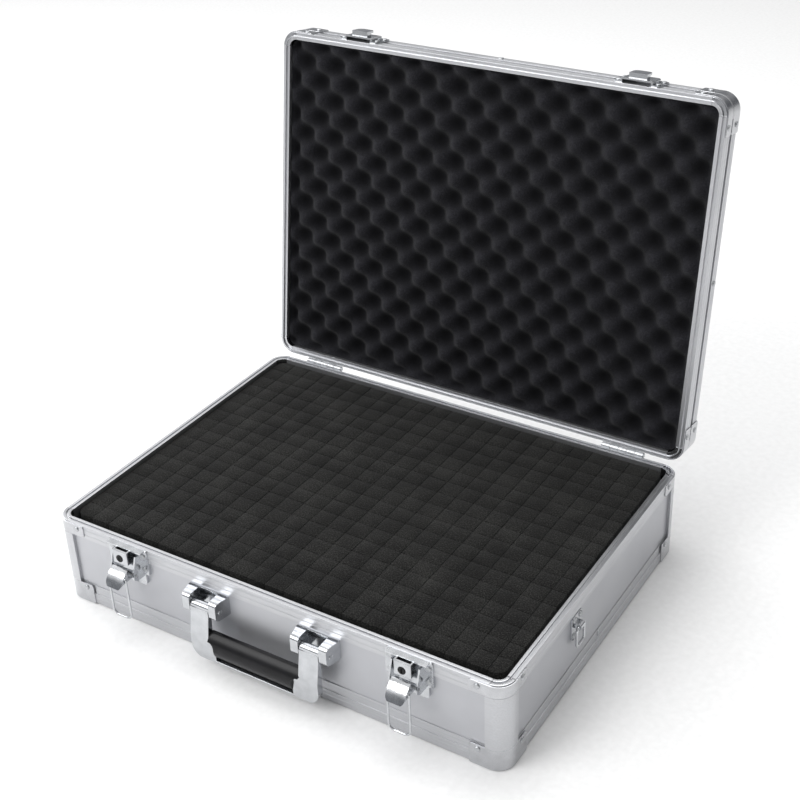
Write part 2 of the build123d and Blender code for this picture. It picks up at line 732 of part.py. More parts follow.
def base_rivet_spots():
    """Every rivet on the base."""
    yield from corner_rivets(base_height - rim_rivet_drop, plate)
    yield from corner_rivets(edge_rivet_rise, plate)
    latch_heights = (latch_plate_top - latch_rivet_drop, latch_plate_waist + latch_rivet_rise)
    across, end = ring_rivet_inset
    for side in (-1, 1):
        yield (side * (half_length - edge_flange_set_in), 0, edge_rivet_rise), (side, 0, 0)
        x = side * latch_centre
        yield from plate_rivets(x, latch_plate_width, latch_rivet_inset, latch_heights, latch_plate_sheet)
        for z in (ring_plate_low + end, ring_plate_low + ring_plate_size[1] - end):
            for dy in (across - ring_plate_size[0] / 2, ring_plate_size[0] / 2 - across):
                yield (side * (half_length - skin + ring_plate_sheet), ring_y + dy, z), (side, 0, 0)
        yield from leaf_rivets(side * hinge_centre, -1)


def lid_rivet_spots():
    """Every rivet on the lid, shut."""
    top = seam_z + lid_height
    yield from corner_rivets(seam_z + rim_rivet_drop, plate)
    yield from corner_rivets(top - lid_edge_rivet_rise, plate)
    yield (0, front_y, top - lid_edge_rivet_rise), (0, -1, 0)
    catch_heights = (seam_z + catch_low + latch_rivet_rise, seam_z + catch_high - latch_rivet_rise)
    for side in (-1, 1):
        yield (side * half_length, 0, top - lid_edge_rivet_rise), (side, 0, 0)
        x = side * latch_centre
        yield from plate_rivets(x, catch_width, catch_rivet_inset, catch_heights, catch_sheet)
        yield from leaf_rivets(side * hinge_centre, 1)


def apart(a, b):
    """True where two boxes do not meet."""
    p, q = a.bounding_box(), b.bounding_box()
    gaps = [(p.min.X - q.max.X, q.min.X - p.max.X), (p.min.Y - q.max.Y, q.min.Y - p.max.Y)]
    gaps.append((p.min.Z - q.max.Z, q.min.Z - p.max.Z))
    return any(gap > 0 for pair in gaps for gap in pair)


def set_rivets(node, spots, held):
    """Makes the rivets and bores their holes in the nodes that they hold."""
    shanks = []
    for face, outward in spots:
        whole, shank = rivet(face, outward)
        keep(node, whole)
        shanks.append(shank)
    for name in held:
        for i, solid in enumerate(nodes[name]):
            for shank in shanks:
                if not apart(solid, shank):
                    solid -= shank
            nodes[name][i] = solid


lid_nodes = [n for n in nodes if n.startswith(("lid_", "latch_catch", "hinge_lid"))]
moving = ("latch_lever_l", "latch_lever_r", "latch_bail", "lock_plug", "handle_frame", "handle_grip")
base_nodes = [n for n in nodes if n not in lid_nodes and not n.startswith(moving)]
base_nodes = [n for n in base_nodes if not n.startswith("foam")]
set_rivets("base_rivets", base_rivet_spots(), base_nodes)
set_rivets("lid_rivets", lid_rivet_spots(), [n for n in lid_nodes if n != "lid_foam"])
lid_nodes.append("lid_rivets")


# ---- rest pose and output -------------------------------------------------------------------
for name in lid_nodes:
    nodes[name] = [s.rotate(lid_axis, -lid_open_angle) for s in nodes[name]]

os.makedirs("parts", exist_ok=True)
for name, solids in nodes.items():
    pieces = [piece for s in solids for piece in s.solids()]
    whole = pieces[0] if len(pieces) == 1 else Compound(children=pieces)
    export_step(whole, "parts/" + name + ".step")
print("nodes", len(nodes), "lid axis y z", hinge_y, hinge_z, "bail latched at", 180 + latched_lean)
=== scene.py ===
"""Looks of an aluminium equipment case: foams, extrusions, plated fittings, materials and a plain studio."""
import json
import math
import random

import bmesh
import bpy
from mathutils import Matrix, Vector

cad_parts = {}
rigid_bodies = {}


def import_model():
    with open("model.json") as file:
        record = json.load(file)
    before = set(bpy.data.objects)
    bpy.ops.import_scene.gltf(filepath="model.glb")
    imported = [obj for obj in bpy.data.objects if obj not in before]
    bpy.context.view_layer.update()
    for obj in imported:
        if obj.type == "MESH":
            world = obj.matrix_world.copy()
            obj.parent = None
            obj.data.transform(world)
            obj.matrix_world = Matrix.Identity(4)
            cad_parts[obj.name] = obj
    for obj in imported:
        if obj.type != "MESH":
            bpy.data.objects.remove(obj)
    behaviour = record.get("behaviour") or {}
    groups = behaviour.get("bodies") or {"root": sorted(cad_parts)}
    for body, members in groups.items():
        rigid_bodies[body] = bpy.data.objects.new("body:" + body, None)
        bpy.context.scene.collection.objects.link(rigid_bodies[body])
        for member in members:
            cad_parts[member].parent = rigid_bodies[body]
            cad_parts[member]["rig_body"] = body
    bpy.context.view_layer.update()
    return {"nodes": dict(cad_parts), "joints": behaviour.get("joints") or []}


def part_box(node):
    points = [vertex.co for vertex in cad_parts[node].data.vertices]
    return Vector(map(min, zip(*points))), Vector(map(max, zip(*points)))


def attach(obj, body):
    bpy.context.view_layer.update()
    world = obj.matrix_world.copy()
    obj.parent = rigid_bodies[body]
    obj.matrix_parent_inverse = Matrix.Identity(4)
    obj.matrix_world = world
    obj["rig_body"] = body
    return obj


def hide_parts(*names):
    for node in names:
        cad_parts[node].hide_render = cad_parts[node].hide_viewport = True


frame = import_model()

bl_info = {
    "name": "Equipment case looks",
    "version": (1, 0, 0),
    "blender": (4, 5, 0),
    "location": "3D View > Sidebar > Case",
    "description": "Builds the foams, extrusions, fittings and materials of a foam-lined aluminium case",
    "category": "Object",
}

MM = 0.001
NODES = frame["nodes"]
LID_JOINT = next(j for j in frame["joints"] if j["name"] == "lid_hinge")
HINGE = Vector(LID_JOINT["pos_m"]) / MM
LID_ANGLE = math.radians(LID_JOINT["range_deg"][1])
OPEN_LID = Matrix.Translation(HINGE) @ Matrix.Rotation(-LID_ANGLE, 4, "X") @ Matrix.Translation(-HINGE)
BODY_OF = {name: node["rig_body"] for name, node in NODES.items()}


# ---- measuring the frame, in millimetres -----------------------------------------------

def box_mm(name):
    """Lowest and highest corner of a CAD node."""
    low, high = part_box(name)
    return low / MM, high / MM


def shut_box(name):
    """Lowest and highest corner of a node on the lid, with the lid shut."""
    back = OPEN_LID.inverted()
    points = [back @ (v.co / MM) for v in NODES[name].data.vertices]
    low = Vector(min(p[i] for p in points) for i in range(3))
    high = Vector(max(p[i] for p in points) for i in range(3))
    return low, high


RIM_LOW, RIM_HIGH = box_mm("base_rim_right")
HALF_LENGTH = RIM_HIGH.x
HALF_DEPTH = box_mm("base_rim_back")[1].y
CORNER_RADIUS = HALF_DEPTH - RIM_HIGH.y
RIM_WIDTH = RIM_HIGH.x - RIM_LOW.x
BASE_TOP = RIM_HIGH.z
LID_TOP = shut_box("lid_edge_corners")[1].z
TONGUE_HEIGHT = 1.8
# The lowest point of the lid's rim is the tip of its tongue.
LID_SEAM = shut_box("lid_rim_corners")[0].z + TONGUE_HEIGHT


# ---- materials ----------------------------------------------------------------------------

def linear(hex_colour):
    """An sRGB hex colour as linear RGBA."""
    channels = [int(hex_colour[i:i + 2], 16) / 255 for i in (1, 3, 5)]
    curve = [c / 12.92 if c <= 0.04045 else ((c + 0.055) / 1.055) ** 2.4 for c in channels]
    return (*curve, 1.0)


def add_node(tree, kind, settings=None, inputs=None):
    """Adds a node, sets its properties, and sets or links its inputs."""
    made = tree.nodes.new(kind)
    for key, value in (settings or {}).items():
        setattr(made, key, value)
    for key, value in (inputs or {}).items():
        if isinstance(value, bpy.types.NodeSocket):
            tree.links.new(value, made.inputs[key])
        else:
            made.inputs[key].default_value = value
    return made


def new_material(name):
    """An empty material with its shader, output and object coordinates."""
    material = bpy.data.materials.new(name)
    material.use_nodes = True
    tree = material.node_tree
    tree.nodes.clear()
    shader = add_node(tree, "ShaderNodeBsdfPrincipled")
    add_node(tree, "ShaderNodeOutputMaterial", inputs={"Surface": shader.outputs["BSDF"]})
    place = add_node(tree, "ShaderNodeTexCoord").outputs["Object"]
    return material, tree, shader, place


def set_shader(shader, **values):
    """Sets sockets of the shader by their names, with spaces as underscores."""
    for key, value in values.items():
        shader.inputs[key.replace("_", " ")].default_value = value


def ramp(tree, factor, *stops):
    """A colour ramp from (position, hex colour) stops."""
    made = add_node(tree, "ShaderNodeValToRGB", inputs={"Fac": factor})
    elements = made.color_ramp.elements
    while len(elements) < len(stops):
        elements.new(0.5)
    for element, (position, colour) in zip(elements, stops):
        element.position = position
        element.color = linear(colour)
    return made.outputs["Color"]


def grain(tree, place, size_mm, detail=2.0, stretch=(1, 1, 1)):
    """Noise whose cells are size_mm across, drawn out along an axis where stretch is above 1."""
    scale = [1 / s for s in stretch]
    moved = add_node(tree, "ShaderNodeMapping", inputs={"Vector": place, "Scale": scale})
    noise = add_node(tree, "ShaderNodeTexNoise", inputs={
        "Vector": moved.outputs["Vector"], "Scale": 1 / (size_mm * MM), "Detail": detail,
    })
    return noise.outputs["Fac"]


def spread(tree, factor, low, high, out_low, out_high):
    """Maps part of a 0 to 1 pattern to a range of values."""
    made = add_node(tree, "ShaderNodeMapRange", inputs={
        "Value": factor, "From Min": low, "From Max": high, "To Min": out_low, "To Max": out_high,
    })
    return made.outputs["Result"]


def relief(tree, shader, height, depth_mm, strength=1.0, under=None):
    """Bump of a real depth on the shader, over another bump if one is given."""
    inputs = {"Height": height, "Distance": depth_mm * MM, "Strength": strength}
    if under:
        inputs["Normal"] = under
    made = add_node(tree, "ShaderNodeBump", inputs=inputs)
    tree.links.new(made.outputs["Normal"], shader.inputs["Normal"])
    return made.outputs["Normal"]


def foam_material(name, dark, middle, light, pit_shade=None):
    """Polyurethane foam, open cell, cut from a block: a matt, sooty skin of tiny cells whose cut
    walls catch the light as fine pale specks. The cells are about 0.5 mm; they are drawn at
    1.2 mm so that they still show at arm's length. Pits of a convoluted sheet are darkened by
    their depth towards the given pit colour: painted shade, standing in for the shade in the pits."""
    material, tree, shader, place = new_material(name)
    cell = grain(tree, place, size_mm=1.2, detail=4.0)
    cloud = grain(tree, place, size_mm=30.0)
    mixed = add_node(tree, "ShaderNodeMath", {"operation": "MULTIPLY_ADD"}, {0: cloud, 1: 0.25, 2: cell})
    colour = ramp(tree, mixed.outputs[0], (0.48, dark), (0.64, middle), (0.82, light))
    # Painted shade: the deeper a point of the sheet, the more its colour turns to the dark pit colour.
    if pit_shade:
        depth = add_node(tree, "ShaderNodeAttribute", {"attribute_name": "depth"}).outputs["Fac"]
        share = spread(tree, depth, 0.15, 0.75, 0.0, 1.0)
        pit_shade_blend = add_node(tree, "ShaderNodeMix", {"data_type": "RGBA"}, {
            "Factor": share, "A": colour, "B": linear(pit_shade),
        })
        colour = pit_shade_blend.outputs["Result"]
    tree.links.new(colour, shader.inputs["Base Color"])
    set_shader(shader, Roughness=0.97, Specular_IOR_Level=0.12, Sheen_Weight=0.05, Sheen_Roughness=0.6)
    pores = add_node(tree, "ShaderNodeTexVoronoi", inputs={"Vector": place, "Scale": 1 / (1.6 * MM)})
    cells = relief(tree, shader, cell, depth_mm=0.5, strength=0.9)
    relief(tree, shader, pores.outputs["Distance"], depth_mm=0.35, strength=0.6, under=cells)
    return material


def board_material():
    """Board faced with a silver laminate, rolled on: satin, a little cloudy, with a very fine
    pressed texture that blurs what it reflects."""
    material, tree, shader, place = new_material("silver_laminated_board")
    cloud = grain(tree, place, size_mm=70.0, detail=3.0)
    fine = grain(tree, place, size_mm=0.8)
    colour = ramp(tree, cloud, (0.30, "#b2b3b7"), (0.55, "#babbbf"), (0.80, "#c0c1c4"))
    tree.links.new(colour, shader.inputs["Base Color"])
    tree.links.new(spread(tree, cloud, 0.3, 0.7, 0.32, 0.42), shader.inputs["Roughness"])
    set_shader(shader, Metallic=0.65)
    relief(tree, shader, fine, depth_mm=0.02, strength=0.35)
    return material


def extrusion_material(name, stretch):
    """Aluminium extrusion, anodised natural: cool silver with a satin bloom and faint draw
    lines along its length. Real draw lines are 0.1 mm apart; they are drawn at 0.5 mm to show."""
    material, tree, shader, place = new_material(name)
    lines = grain(tree, place, size_mm=0.5, stretch=stretch)
    cloud = grain(tree, place, size_mm=45.0)
    colour = ramp(tree, lines, (0.25, "#b9babd"), (0.75, "#c8c9cc"))
    tree.links.new(colour, shader.inputs["Base Color"])
    tree.links.new(spread(tree, cloud, 0.3, 0.7, 0.30, 0.38), shader.inputs["Roughness"])
    set_shader(shader, Metallic=0.9)
    relief(tree, shader, lines, depth_mm=0.02, strength=0.25)
    return material


def plated_material(name, dark, light, smooth, rough):
    """Steel, pressed and bright plated: mirror-like, with handling marks that only show as
    slight changes of gloss."""
    material, tree, shader, place = new_material(name)
    marks = grain(tree, place, size_mm=9.0, detail=4.0)
    orange_peel = grain(tree, place, size_mm=2.2, detail=1.0)
    tree.links.new(ramp(tree, marks, (0.3, dark), (0.7, light)), shader.inputs["Base Color"])
    tree.links.new(spread(tree, marks, 0.3, 0.7, smooth, rough), shader.inputs["Roughness"])
    set_shader(shader, Metallic=1.0)
    relief(tree, shader, orange_peel, depth_mm=0.01, strength=0.3)
    return material


def grip_material():
    """Plasticised PVC, moulded over the handle bar: deep black and half glossy, with a soft
    ripple in its colour and a fine grain from the mould."""
    material, tree, shader, place = new_material("black_moulded_pvc")
    mould = grain(tree, place, size_mm=0.7)
    ripple = grain(tree, place, size_mm=16.0, detail=1.0)
    tree.links.new(ramp(tree, ripple, (0.3, "#0f0f11"), (0.7, "#17171a")), shader.inputs["Base Color"])
    tree.links.new(spread(tree, mould, 0.3, 0.7, 0.26, 0.36), shader.inputs["Roughness"])
    set_shader(shader, Specular_IOR_Level=0.22)
    relief(tree, shader, mould, depth_mm=0.02, strength=0.4)
    return material


def brass_material():
    """Brass lock cylinder, turned, coloured near black, with fine marks."""
    material, tree, shader, place = new_material("near_black_lock_brass")
    marks = grain(tree, place, size_mm=0.4)
    tree.links.new(ramp(tree, marks, (0.3, "#1a1a1b"), (0.7, "#39393a")), shader.inputs["Base Color"])
    set_shader(shader, Metallic=1.0, Roughness=0.3)
    relief(tree, shader, marks, depth_mm=0.02, strength=0.4)
    return material


def floor_material():
    """Painted studio floor: matt white with a barely visible roller texture."""
    material, tree, shader, place = new_material("white_painted_floor")
    roller = grain(tree, place, size_mm=6.0, detail=3.0)
    tree.links.new(ramp(tree, roller, (0.3, "#eeeeee"), (0.7, "#f4f4f4")), shader.inputs["Base Color"])
    set_shader(shader, Roughness=0.9, Specular_IOR_Level=0.1)
    return material


MATERIALS = {}


def finish_for(slot_name):
    """The material for a slot of the record, or for extrusions along Y, made once."""
    makers = {
        "silver_board": board_material,
        "anodised_aluminium": lambda: extrusion_material("anodised_extrusion_along_x", (60, 1, 1)),
        "anodised_along_y": lambda: extrusion_material("anodised_extrusion_along_y", (1, 60, 1)),
        "plated_steel": lambda: plated_material("nickel_plated_steel", "#b7b8bb", "#c5c6c9", 0.16, 0.26),
        "chrome_hardware": lambda: plated_material("bright_chrome_plate", "#b9bbbe", "#cacccf", 0.13, 0.20),
        "zinc_steel": lambda: plated_material("zinc_plated_steel", "#a7a9ac", "#c9cbcd", 0.25, 0.38),
        "lock_core": brass_material,
        "black_grip": grip_material,
        "base_foam": lambda: foam_material("foam_scored_polyurethane", "#060606", "#161615", "#343432"),
        # The lid foam's last colour is painted shade for its pits.
        "lid_foam": lambda: foam_material(
            "foam_convoluted_polyurethane", "#18181b", "#212125", "#2c2c31", "#0f0f12"),
    }
    if slot_name not in MATERIALS:
        MATERIALS[slot_name] = makers[slot_name]()
    return MATERIALS[slot_name]


# ---- finishing a piece --------------------------------------------------------------------

WELD = 0.002    # distance in mm below which two corners of a CAD mesh are one
FLAT = 0.5      # largest angle in degrees between faces that are merged into one
FOLD = 42.0     # least angle in degrees between two faces of a fitting whose edge is rounded


def place_piece(bm, name, slot_name, stands_for, on_lid=False, sharp_angle=40.0, finish=None):
    """Turns a bmesh in millimetres into a piece in its place, which stands for CAD nodes."""
    if on_lid:
        bmesh.ops.transform(bm, matrix=OPEN_LID, verts=bm.verts)
    bmesh.ops.scale(bm, vec=(MM, MM, MM), verts=bm.verts)
    bm.normal_update()
    for face in bm.faces:
        face.smooth = True
    for edge in bm.edges:
        edge.smooth = len(edge.link_faces) == 2 and edge.calc_face_angle() < math.radians(sharp_angle)
    mesh = bpy.data.meshes.new(name)
    bm.to_mesh(mesh)
    bm.free()
    piece = bpy.data.objects.new(name, mesh)
    bpy.context.scene.collection.objects.link(piece)
    mesh.materials.append(finish or finish_for(slot_name))
    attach(piece, BODY_OF[stands_for[0]])
    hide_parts(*stands_for)
    return piece


def even_shading(piece):
    """Keeps wide flat faces flat in the shading beside their rounded edges."""
    weighted = piece.modifiers.new("even_shading", "WEIGHTED_NORMAL")
    weighted.mode = "FACE_AREA_WITH_ANGLE"
    weighted.keep_sharp = True
    return piece


def round_edges(bm, edges, width, segments=2):
    """Rounds edges by a width in millimetres."""
    bmesh.ops.bevel(
        bm, geom=list(edges), offset=width, offset_type="OFFSET", segments=segments, profile=0.5,
        affect="EDGES", clamp_overlap=True, material=-1,
    )


def hard_edges(bm, angle):
    """Edges where two faces meet at more than an angle in degrees."""
    return [e for e in bm.edges if len(e.link_faces) == 2 and e.calc_face_angle() > math.radians(angle)]


def softened_copy(name, slot_name, width):
    """A CAD node with its triangles merged and its hard edges rounded."""
    bm = bmesh.new()
    bm.from_mesh(NODES[name].data)
    bmesh.ops.scale(bm, vec=(1 / MM, 1 / MM, 1 / MM), verts=bm.verts)
    bmesh.ops.remove_doubles(bm, verts=bm.verts, dist=WELD)
    bmesh.ops.dissolve_limit(bm, angle_limit=math.radians(FLAT), verts=bm.verts, edges=bm.edges)
    bmesh.ops.recalc_face_normals(bm, faces=bm.faces)
    if width:
        round_edges(bm, hard_edges(bm, FOLD), width)
    return even_shading(place_piece(bm, name + "_finished", slot_name, [name]))


# ---- shapes swept round the case --------------------------------------------------------------
# A section is a list of (u, v): u inwards from the case's outer face, v upwards.

def section_loop(bm, section, place):
    """A closed loop of edges with the section's outline."""
    verts = [bm.verts.new(place(u, v)) for u, v in section]
    return [bm.edges.new((a, b)) for a, b in zip(verts, verts[1:] + verts[:1])]


def run_on(bm, edges, step):
    """Carries a loop of edges along a straight step. Returns the loop at its end."""
    out = bmesh.ops.extrude_edge_only(bm, edges=edges)["geom"]
    bmesh.ops.translate(bm, vec=step, verts=[g for g in out if isinstance(g, bmesh.types.BMVert)])
    return [g for g in out if isinstance(g, bmesh.types.BMEdge) and len(g.link_faces) == 1]


def turn_on(bm, edges, centre, axis, angle, steps):
    """Carries a loop of edges round an arc. Returns the loop at its end."""
    verts = list({v for e in edges for v in e.verts})
    out = bmesh.ops.spin(
        bm, geom=verts + edges, cent=centre, axis=axis, dvec=(0, 0, 0), angle=angle, steps=steps,
        use_merge=False, use_normal_flip=False, use_duplicate=False,
    )["geom_last"]
    return [g for g in out if isinstance(g, bmesh.types.BMEdge)]


def close_ends(bm, *loops):
    """Caps open loops and points every face outwards."""
    for loop in loops:
        bmesh.ops.contextual_create(bm, geom=loop)
    bmesh.ops.recalc_face_normals(bm, faces=bm.faces)


def side_bar(section, level, half_run, half_span):
    """A straight bar along X at the front."""
    bm = bmesh.new()
    first = section_loop(bm, section, lambda u, v: (-half_run, -half_span + u, level + v))
    close_ends(bm, first, run_on(bm, first, (2 * half_run, 0, 0)))
    return bm


def corner_sweep(bm, section, level, arm, steps=14):
    """A section swept round the back right corner, with a straight arm along each side."""
    x, y = HALF_LENGTH - CORNER_RADIUS, HALF_DEPTH - CORNER_RADIUS
    before = set(bm.verts)
    first = section_loop(bm, section, lambda u, v: (x - arm, HALF_DEPTH - u, level + v))
    loop = run_on(bm, first, (arm, 0, 0)) if arm else first
    loop = turn_on(bm, loop, (x, y, 0), (0, 0, 1), -math.pi / 2, steps)
    last = run_on(bm, loop, (0, -arm, 0)) if arm else loop
    close_ends(bm, first, last)
    return [v for v in bm.verts if v not in before]


def at_corners(bm):
    """Repeats what the bmesh holds at the back right corner at the other three."""
    for flip in ((-1, 1, 1), (1, -1, 1)):
        made = bmesh.ops.duplicate(bm, geom=bm.verts[:] + bm.edges[:] + bm.faces[:])["geom"]
        verts = [g for g in made if isinstance(g, bmesh.types.BMVert)]
        faces = [g for g in made if isinstance(g, bmesh.types.BMFace)]
        bmesh.ops.scale(bm, vec=flip, verts=verts)
        bmesh.ops.reverse_faces(bm, faces=faces)


# Sections of the two extrusions, in millimetres. v runs from the seam face for a rim and from
# the outer flat face for an edge; upside down on the lid.
GROOVE = 1.5
GROOVE_DEPTH = 1.5
TONGUE = 0.9
HEEL = 1.5                      # rounding of an edge extrusion's outer corner
HEEL_MIDDLE = 0.3               # its middle point, as a share of it, near that of a true arc
RIM_GROOVES = (0.26, 0.66)      # where the draw grooves lie, as shares of the band's height
EDGE_GROOVE = 0.62
GROOVE_SLOPE = 0.8              # depth of a draw groove as a share of its half width


def draw_groove(middle, cut):
    """The three points of a shallow groove along an outer face."""
    return [(0, middle + cut), (cut * GROOVE_SLOPE, middle), (0, middle - cut)]


def rim_outline(sizes, tongue):
    """Rim: a channel with two draw grooves outside, and a seal groove or a tongue on its face."""
    skin, web, band, cut = sizes.skin, sizes.rim_web, sizes.rim_band, sizes.draw_groove
    width = RIM_WIDTH
    outline = [(0, -band), (skin, -band), (skin, -web)]
    outline += [(width - skin, -web), (width - skin, -band), (width, -band), (width, 0)]
    side = (width - GROOVE) / 2
    if tongue:
        inner, outer = (width + TONGUE) / 2, (width - TONGUE) / 2
        outline += [(inner, 0), (inner, tongue), (outer, tongue), (outer, 0)]
    else:
        outline += [(width - side, 0), (width - side, -GROOVE_DEPTH), (side, -GROOVE_DEPTH), (side, 0)]
    outline.append((0, 0))
    for share in RIM_GROOVES:
        outline += draw_groove(-band * share, cut)
    return outline


def edge_outline(sizes, flange):
    """Edge: an angle with a grooved band, and a thinner flange above it on the base."""
    skin, band, leg, cut = sizes.skin, sizes.edge_band, sizes.edge_leg, sizes.draw_groove
    outline = [(leg, 0), (leg, skin), (skin, skin)]
    if flange:
        outline += [(skin, band + flange), (sizes.flange_step, band + flange), (sizes.flange_step, band)]
    else:
        outline.append((skin, band))
    outline.append((0, band))
    outline += draw_groove(band * EDGE_GROOVE, cut)
    outline += [(0, HEEL), (HEEL * HEEL_MIDDLE, HEEL * HEEL_MIDDLE), (HEEL, 0)]
    return outline


def upside_down(section):
    """A section for the lid, which meets the base the other way up."""
    return [(u, -v) for u, v in section]


# ---- sizes and colours a user would change -----------------------------------------------------

def millimetres(name, description, default):
    """A length in millimetres for a property group."""
    return bpy.props.FloatProperty(name=name, description=description, default=default, min=0.0)


class CaseExtrusions(bpy.types.PropertyGroup):
    """Sizes of the extrusions, the corner plates and the corner posts"""
    skin: millimetres("Wall", "Wall of every extrusion, mm", 1.6)
    rim_web: millimetres("Rim web", "Solid top of the rim, mm", 5.0)
    rim_band: millimetres("Rim band", "Height of the rim's outer face, mm", 14.0)
    edge_band: millimetres("Edge band", "Height of the edge's proud band, mm", 12.0)
    edge_leg: millimetres("Edge leg", "Leg under the floor or over the lid, mm", 12.0)
    edge_flange: millimetres("Edge flange", "Thinner flange above the base's band, mm", 9.0)
    flange_step: millimetres("Flange step", "How far the flange is set in, mm", 0.8)
    draw_groove: millimetres("Draw groove", "Half width of the grooves along the bars, mm", 0.5)
    rounding: millimetres("Rounding", "Rounding of the bars' edges, mm", 0.35)
    plate: millimetres("Corner plate", "Sheet of the corner plates, mm", 1.0)
    plate_margin: millimetres("Plate margin", "Bare rim above and below a corner plate, mm", 1.2)
    plate_end: millimetres("Plate end", "Rounded ends of a corner plate, mm", 2.2)
    post_lap: millimetres("Post lap", "How far a corner post laps over the boards, mm", 3.5)
    tongue: millimetres("Tongue", "Height of the lid's tongue, mm", TONGUE_HEIGHT)
    corner_arm: millimetres("Corner arm", "How far a corner plate laps along a side, mm", 18.0)
    base_cap: millimetres("Base cap", "Height of the base's corner caps, mm", 21.0)
    lid_cap: millimetres("Lid cap", "Height of the lid's corner caps, mm", 16.0)


class CaseFoam(bpy.types.PropertyGroup):
    """Sizes of the scored block and the convoluted sheet"""
    cube_x: millimetres("Cube length", "Pitch of the scored cubes along the case, mm", 19.4)
    cube_y: millimetres("Cube depth", "Pitch of the scored cubes across the case, mm", 18.6)
    cut: millimetres("Cut", "Width of the knife cuts, mm", 0.3)
    cut_wander: millimetres("Cut wander", "How far a cut lies off its mark at most, mm", 0.3)
    narrowest: millimetres("Narrowest cube", "Least width that a last row may have, mm", 4.0)
    cube_round: millimetres("Cube rounding", "Softened edges of the cubes, mm", 0.3)
    cube_unevenness: millimetres("Unevenness", "How far cubes stand below the highest ones, mm", 0.15)
    block_corner: millimetres("Block corner", "Radius of the foam's corners, mm", 9.0)
    gap_front: millimetres("Front gap", "Gap in front of the cubes, mm", 9.5)
    gap_right: millimetres("Right gap", "Gap right of the cubes, mm", 4.3)
    pit_x: millimetres("Pit pitch along", "Pitch of the lid foam's pits along the case, mm", 34.8)
    pit_y: millimetres("Pit pitch across", "Pitch of the lid foam's pits across the lid, mm", 36.0)
    first_pit_x: millimetres("First pit along", "First pit from the lid foam's left side, mm", 17.6)
    first_pit_y: millimetres("First pit across", "First pit from the hinge side, mm", 16.8)
    pit_depth: millimetres("Pit depth", "From the tips to the bottoms of the pits, mm", 15.0)
    edge_strip: millimetres("Edge strip", "Flattened strip round the lid foam, mm", 7.0)
    edge_depth: millimetres("Edge depth", "How deep that strip lies, mm", 3.0)
    spacing: millimetres("Mesh spacing", "Spacing of the lid foam's mesh, mm", 2.0)


class CaseFittings(bpy.types.PropertyGroup):
    """Rounding of the fittings' edges"""
    pressed_edge: millimetres("Pressed edges", "Rounding of latches, brackets and ring plates, mm", 0.35)
    frame_edge: millimetres("Handle frame", "Rounding of the handle's frame, mm", 0.6)
    grip_edge: millimetres("Grip", "Rounding of the grip's edges, mm", 0.5)
    hinge_edge: millimetres("Hinges and pins", "Rounding of hinge leaves and pins, mm", 0.2)
    plug_edge: millimetres("Lock plug", "Rounding of the lock plugs, mm", 0.1)


class CaseStage(bpy.types.PropertyGroup):
    """Camera and lamps"""
    azimuth: bpy.props.FloatProperty(
        name="Azimuth", description="Camera's turn about Z", default=math.radians(31.78), subtype="ANGLE")
    elevation: bpy.props.FloatProperty(
        name="Elevation", description="Camera's height angle", default=math.radians(29.8), subtype="ANGLE")
    roll: bpy.props.FloatProperty(
        name="Roll", description="Camera's roll", default=-0.0289, subtype="ANGLE")
    distance: bpy.props.FloatProperty(
        name="Distance", description="Camera to aim point", default=1.2, unit="LENGTH")
    aim: bpy.props.FloatVectorProperty(
        name="Aim", description="Point that the camera looks at",
        default=(0.0481, 0.0245, 0.2201), subtype="XYZ")
    lens: bpy.props.FloatProperty(
        name="Lens", description="Focal length on a 36 mm sensor, mm", default=62.38)
    shift: bpy.props.FloatVectorProperty(
        name="Shift", description="Lens shift", default=(-0.0343, -0.0411), size=2)
    key_power: bpy.props.FloatProperty(
        name="Key", description="Main softbox, W", default=30.0, unit="POWER")
    fill_power: bpy.props.FloatProperty(
        name="Fill", description="Left softbox, W", default=14.0, unit="POWER")
    top_power: bpy.props.FloatProperty(
        name="Top", description="Overhead softbox, W", default=22.0, unit="POWER")


# ---- operators -----------------------------------------------------------------------------------

